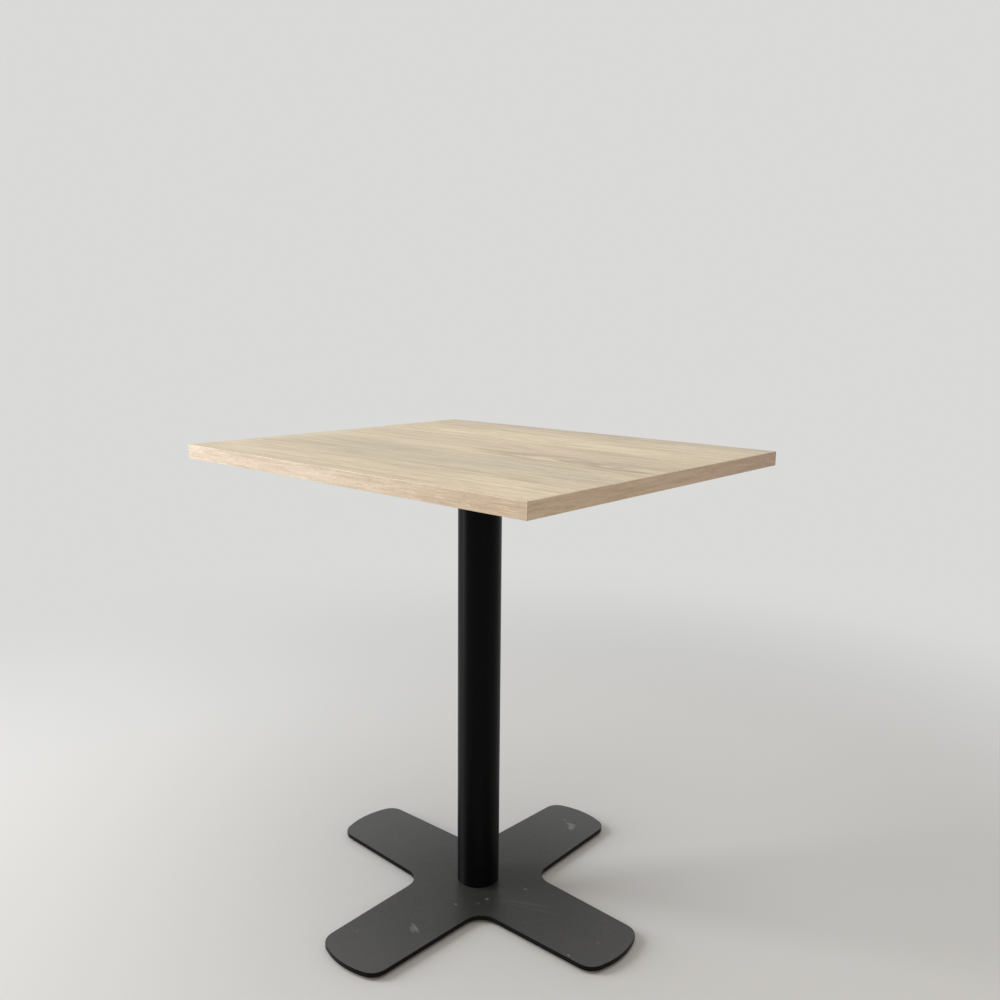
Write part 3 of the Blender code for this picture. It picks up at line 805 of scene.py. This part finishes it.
def hexagon(width):
    """The radius of a hexagon at an angle, from its width across the flats."""
    return lambda angle: width / 2 / math.cos(angle % (math.pi / 3) - math.pi / 6)


def crossed_bars(span, width):
    """The radius of a cross at an angle, from the span and width of its bars."""

    def bar(along, beside):
        return min(span / 2 / max(along, WELD_DISTANCE), width / 2 / max(beside, WELD_DISTANCE))

    def radius(angle):
        along = abs(math.cos(angle))
        beside = abs(math.sin(angle))
        return max(bar(along, beside), bar(beside, along))

    return radius


def thread(radius, pitch, depth, high, low):
    """Rings of a right-handed thread from a high end to a low one, running out at both."""

    def turn_at(height, fade):
        def ring_at(angle):
            share = (height / pitch - angle / (2 * math.pi)) % 1
            flank = min(1, max(0, THREAD_FLANK * (1 - abs(2 * share - 1)) - THREAD_ROOT))
            return radius - depth * fade * (1 - flank), height

        return ring_at

    rows = math.ceil((high - low) / pitch * ROWS_PER_TURN)
    rings = []
    for row in range(rows + 1):
        height = high + (low - high) * row / rows
        fade = min(1, (high - height) / pitch, (height - low) / pitch)
        rings.append(turn_at(height, fade))
    return rings


def bolt_mesh(name, head_up):
    """A countersunk socket bolt in the place of a packed one."""
    low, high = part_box(name)
    middle = (low + high) / 2
    if head_up:
        place = Matrix.Translation((middle.x, middle.y, high.z))
    else:
        place = Matrix.Translation((middle.x, middle.y, low.z)) @ Matrix.Rotation(math.pi, 4, "X")
    end = low.z - high.z
    head = BOLT_HEAD_DIAMETER / 2
    shank = BOLT_DIAMETER / 2
    socket = hexagon(BOLT_SOCKET_WIDTH)
    rings = [
        -BOLT_SOCKET_DEPTH - BOLT_HEAD_RIM,
        shaped(socket, -BOLT_SOCKET_DEPTH),
        shaped(socket, -BOLT_HEAD_RIM),
        shaped(hexagon(BOLT_SOCKET_WIDTH + BOLT_HEAD_RIM), 0),
        ring(head - BOLT_HEAD_RIM, 0),
        ring(head - BOLT_HEAD_RIM / 2, -BOLT_HEAD_RIM / 2),
        ring(shank, shank - head),
    ]
    rings += thread(shank, BOLT_PITCH, BOLT_THREAD_DEPTH, shank - head, end + BOLT_END_CHAMFER)
    rings += [ring(shank - BOLT_END_CHAMFER, end), end]
    return spun(f"{name}_skin", rings, FASTENER_STEPS, place)


def screw_mesh(name):
    """A round-headed wood screw, point up, in the place of a packed one."""
    low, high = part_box(name)
    middle = (low + high) / 2
    place = Matrix.Translation((middle.x, middle.y, low.z + SCREW_HEAD_HEIGHT))
    point = high.z - low.z - SCREW_HEAD_HEIGHT
    shank = SCREW_DIAMETER / 2
    head = SCREW_HEAD_DIAMETER / 2
    dome = SCREW_HEAD_HEIGHT - SCREW_HEAD_RIM
    recess = crossed_bars(SCREW_RECESS_SPAN, SCREW_RECESS_WIDTH)
    recess_floor = SCREW_RECESS_DEPTH - SCREW_HEAD_HEIGHT
    crown = math.acos(SCREW_RECESS_SPAN / SCREW_HEAD_DIAMETER)

    rings = [point, ring(shank * SCREW_TIP_SHARE, point - SCREW_POINT * SCREW_TIP_SHARE)]
    rings += thread(shank, SCREW_PITCH, SCREW_THREAD_DEPTH, point - SCREW_POINT, 0)
    for step in range(ARC_STEPS + 1):
        angle = crown * step / ARC_STEPS
        rings.append(ring(head * math.cos(angle), -SCREW_HEAD_RIM - dome * math.sin(angle)))
    rings += [
        shaped(recess, -SCREW_HEAD_RIM - dome * math.sin(crown)),
        shaped(lambda angle: recess(angle) * SCREW_RECESS_TAPER, recess_floor),
        recess_floor + SCREW_RECESS_CONE,
    ]
    return spun(f"{name}_skin", rings, FASTENER_STEPS, place)


def stud_mesh(name):
    """A glide's stud: thread, chamfered hexagon flange, neck and button."""
    low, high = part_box(name)
    middle = (low + high) / 2
    place = Matrix.Translation((middle.x, middle.y, low.z))
    top = high.z - low.z
    radius = BOLT_DIAMETER / 2
    flange = hexagon(FLANGE_WIDTH)
    flange_low = FLANGE_RISE - FLANGE_THICKNESS
    rings = [top, ring(radius - STUD_END_CHAMFER, top)]
    rings += thread(radius, BOLT_PITCH, BOLT_THREAD_DEPTH, top - STUD_END_CHAMFER, FLANGE_RISE)
    rings += [
        shaped(flange, FLANGE_RISE, FLANGE_WIDTH / 2),
        shaped(flange, FLANGE_RISE - FLANGE_CHAMFER),
        shaped(flange, flange_low + FLANGE_CHAMFER),
        shaped(flange, flange_low, FLANGE_WIDTH / 2),
        ring(NECK_DIAMETER / 2, flange_low),
        ring(NECK_DIAMETER / 2, BUTTON_THICKNESS),
        ring(BUTTON_DIAMETER / 2, BUTTON_THICKNESS),
        ring(BUTTON_DIAMETER / 2, 0),
        0,
    ]
    return spun(f"{name}_skin", rings, FASTENER_STEPS, place)


def pad_mesh(name):
    """A glide's moulded foot: rounded edges, the button's chamber and a hollow sole."""
    low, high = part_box(name)
    middle = (low + high) / 2
    place = Matrix.Translation((middle.x, middle.y, low.z))
    height = high.z - low.z
    edge = (high.x - low.x) / 2 - PAD_EDGE
    rings = [
        PAD_FLOOR,
        ring(PAD_CHAMBER_RADIUS, PAD_FLOOR),
        ring(PAD_CHAMBER_RADIUS, height - PAD_LIP),
        ring(PAD_MOUTH_RADIUS, height - PAD_LIP),
        ring(PAD_MOUTH_RADIUS, height),
    ]
    rings += rounded(edge, height - PAD_EDGE, PAD_EDGE, math.pi / 2)
    rings += rounded(edge, PAD_EDGE, PAD_EDGE, 0)
    rings += [ring(SOLE_RADIUS, 0), ring(SOLE_RADIUS - SOLE_DEPTH, SOLE_DEPTH), SOLE_DEPTH]
    return spun(f"{name}_skin", rings, PAD_STEPS, place)


def column_mesh(name):
    """The column's tube with its sawn ends eased."""
    low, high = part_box(name)
    edge = (high.x - low.x) / 2 - COLUMN_ARRIS
    bore = edge + COLUMN_ARRIS - COLUMN_WALL
    rings = rounded(edge, high.z - COLUMN_ARRIS, COLUMN_ARRIS, math.pi / 2)
    rings += rounded(edge, low.z + COLUMN_ARRIS, COLUMN_ARRIS, 0)
    rings += [ring(bore, low.z), ring(bore, high.z)]
    return spun(f"{name}_skin", rings, COLUMN_STEPS, Matrix(), closed=True)


def glue_mesh(name):
    """The film of glue behind the edge bands and in the joints where they meet at the corners."""
    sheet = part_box("top_laminate")[1]
    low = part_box("backing_laminate")[0].z + GLUE_DEPTH
    high = sheet.z - GLUE_DEPTH
    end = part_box("edge_band_right")[1].x - GLUE_DEPTH
    side = (sheet.x + GLUE_CLEARANCE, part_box("edge_band_right")[0].x - GLUE_CLEARANCE)
    front = (sheet.y + GLUE_CLEARANCE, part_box("edge_band_back")[0].y - GLUE_CLEARANCE)
    shape = bmesh.new()
    seams = []
    for way in (-1, 1):
        seam = [shape.verts.new((x, way * front[0], low)) for x in (-end, -side[1], -side[0], *side, end)]
        rim = [shape.verts.new((x, way * front[1], low)) for x in (end, -end)]
        shape.faces.new(seam + rim)
        seams.append(seam)
    for first, second in ((1, 2), (3, 4)):
        shape.faces.new((seams[0][first], seams[0][second], seams[1][second], seams[1][first]))
    film = bmesh.ops.extrude_face_region(shape, geom=shape.faces[:], use_keep_orig=True)
    raised = [item for item in film["geom"] if isinstance(item, bmesh.types.BMVert)]
    bmesh.ops.translate(shape, verts=raised, vec=(0, 0, high - low))
    return mesh_of(shape, name)


def add_piece(name, mesh, finish, body):
    """Adds a piece that rides on a body."""
    mesh.materials.append(finish.material)
    piece = bpy.data.objects.new(name, mesh)
    bpy.context.scene.collection.objects.link(piece)
    normals = piece.modifiers.new("even faces", "WEIGHTED_NORMAL")
    normals.keep_sharp = True
    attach(piece, body)
    return piece


def dress(node, finish, mesh=None):
    """Shows a node as a skin with smooth faces, riding on the node's own body."""
    mesh = mesh or joined_copy(node)
    skin = add_piece(f"{node}_skin", mesh, finish, NODES[node]["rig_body"])
    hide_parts(node)
    return skin


def coat_shaded_sides(skin, finish):
    """Gives the faces of a skin that don't look up a finish of their own, here a darker coat as painted
    shade.
    """
    skin.data.materials.append(finish.material)
    for face in skin.data.polygons:
        if face.normal.z < LOOKS_UP:
            face.material_index = 1


def paint(node, finish):
    """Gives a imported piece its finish."""
    for slot in NODES[node].material_slots:
        slot.material = finish.material


def build_top():
    flame = (FLAME_CENTRE, FLAME_SIZE)
    calm = (CALM_CENTRE, CALM_SIZE)
    paint("top_laminate", oak("oak_decor", "X", "Y", TOP_COLOURS, TOP_FIGURE, TOP_GRAIN, flame, calm))
    paint("backing_laminate", backing_sheet())
    paint("top_core", chipboard())
    for name, along, figure, grain, sides in BANDS:
        band = oak(name, along, "Z", BAND_COLOURS, figure, grain, rubbed_highlight=BAND_RUBBED_HIGHLIGHT)
        for side in sides:
            dress(f"edge_band_{side}", band)
    add_piece("glue_line", glue_mesh("glue_line"), glue(), "table")


def build_column():
    black = powder_coat("column_coat", *COLUMN_COAT)
    around = black.add("Tangent", {}, direction_type="RADIAL", axis="Z").outputs[0]
    black.set({"Anisotropic": COLUMN_ANISOTROPY, "Anisotropic Rotation": COLUMN_ANISOTROPY_TURN})
    black.set({"Tangent": around})
    dress("column_tube", black, column_mesh("column_tube"))
    dress("top_bracket", powder_coat("bracket_coat", *BRACKET_COAT))
    bare = metal("bare_steel", *BARE_STEEL)
    for end in ("top", "base"):
        paint(f"column_{end}_disc", bare)


def build_base():
    plate = dress("base_plate", worn_and_shaded_coat())
    # Painted shade: the plate's sides get a darker coat
    coat_shaded_sides(plate, powder_coat("base_side_painted_shade", *SHADED_SIDE_COAT))
    steel = metal("stud_steel", *STUD_STEEL)
    black_nylon = nylon()
    for arm in ARMS:
        dress(f"glide_stud_{arm}", steel, stud_mesh(f"glide_stud_{arm}"))
        dress(f"glide_pad_{arm}", black_nylon, pad_mesh(f"glide_pad_{arm}"))


def build_fasteners():
    zinc = metal("bright_zinc", *BRIGHT_ZINC)
    dark_zinc = metal("black_zinc", *BLACK_ZINC)
    for number in BOLT_NUMBERS:
        dress(f"bracket_bolt_{number}", zinc, bolt_mesh(f"bracket_bolt_{number}", True))
        dress(f"base_bolt_{number}", dark_zinc, bolt_mesh(f"base_bolt_{number}", False))
    for arm in ARMS:
        for spot in ("outer", "inner"):
            dress(f"top_screw_{arm}_{spot}", zinc, screw_mesh(f"top_screw_{arm}_{spot}"))


def build_surround():
    """Even light from all round, and the backdrop where it is seen directly."""
    world = bpy.data.worlds.new("surround")
    bpy.context.scene.world = world
    world.use_nodes = True
    nodes = Nodes(world.node_tree)
    colour = nodes.mix(nodes.seen_directly(), SURROUND_LIGHT, BACKDROP)
    nodes.feed(world.node_tree.nodes["Background"].inputs["Color"], colour)


def build_floor():
    """A pale matt floor that fades into the backdrop with its distance from the table."""
    shape = bmesh.new()
    bmesh.ops.create_circle(shape, cap_ends=True, segments=FLOOR_STEPS, radius=FLOOR_RADIUS)
    floor = bpy.data.objects.new("floor", mesh_of(shape, "floor"))
    bpy.context.scene.collection.objects.link(floor)

    finish = Finish("floor", {"Base Color": FLOOR_COLOUR, "Roughness": FLOOR_ROUGHNESS})
    finish.set({"Specular IOR Level": FLOOR_SPECULAR})
    away = finish.length(finish.place())
    fade = finish.math("MULTIPLY", finish.span(away, *FLOOR_FADE), finish.seen_directly())
    glow = finish.add("Emission", {"Color": BACKDROP}).outputs[0]
    both = finish.add("MixShader", {0: fade, 1: finish.shader.outputs[0], 2: glow}).outputs[0]
    finish.feed(finish.tree.nodes["Material Output"].inputs["Surface"], both)
    floor.data.materials.append(finish.material)


def add_softbox(name, place, size, power, colour=PLAIN_LIGHT):
    """An area lamp that faces the table."""
    lamp = bpy.data.lights.new(name, "AREA")
    lamp.shape = "RECTANGLE"
    lamp.size, lamp.size_y = size
    lamp.energy = power
    lamp.color = colour
    box = bpy.data.objects.new(name, lamp)
    box.location = place
    box.rotation_euler = (Vector(AIM) - Vector(place)).to_track_quat("-Z", "Y").to_euler()
    bpy.context.scene.collection.objects.link(box)
    return box


def add_lamps():
    add_softbox("window", WINDOW_PLACE, WINDOW_SIZE, WINDOW_POWER)
    add_softbox("ceiling", CEILING_PLACE, CEILING_SIZE, CEILING_POWER)
    fill = add_softbox("fill", FILL_PLACE, FILL_SIZE, FILL_POWER, FILL_COLOUR)
    fill.visible_glossy = False


def add_camera():
    lens = bpy.data.cameras.new("camera")
    lens.sensor_width = CAMERA_SENSOR
    lens.lens = CAMERA_LENS
    camera = bpy.data.objects.new("camera", lens)
    turn = Matrix.Rotation(CAMERA_TURN, 4, "Z")
    dip = Matrix.Rotation(math.pi / 2 - CAMERA_DIP, 4, "X")
    roll = Matrix.Rotation(CAMERA_ROLL, 4, "Z")
    camera.matrix_world = Matrix.Translation(CAMERA_PLACE) @ turn @ dip @ roll
    bpy.context.scene.collection.objects.link(camera)
    bpy.context.scene.camera = camera


build_top()
build_column()
build_base()
build_fasteners()
build_surround()
build_floor()
add_lamps()
add_camera()
bpy.context.scene.view_settings.view_transform = "Standard"
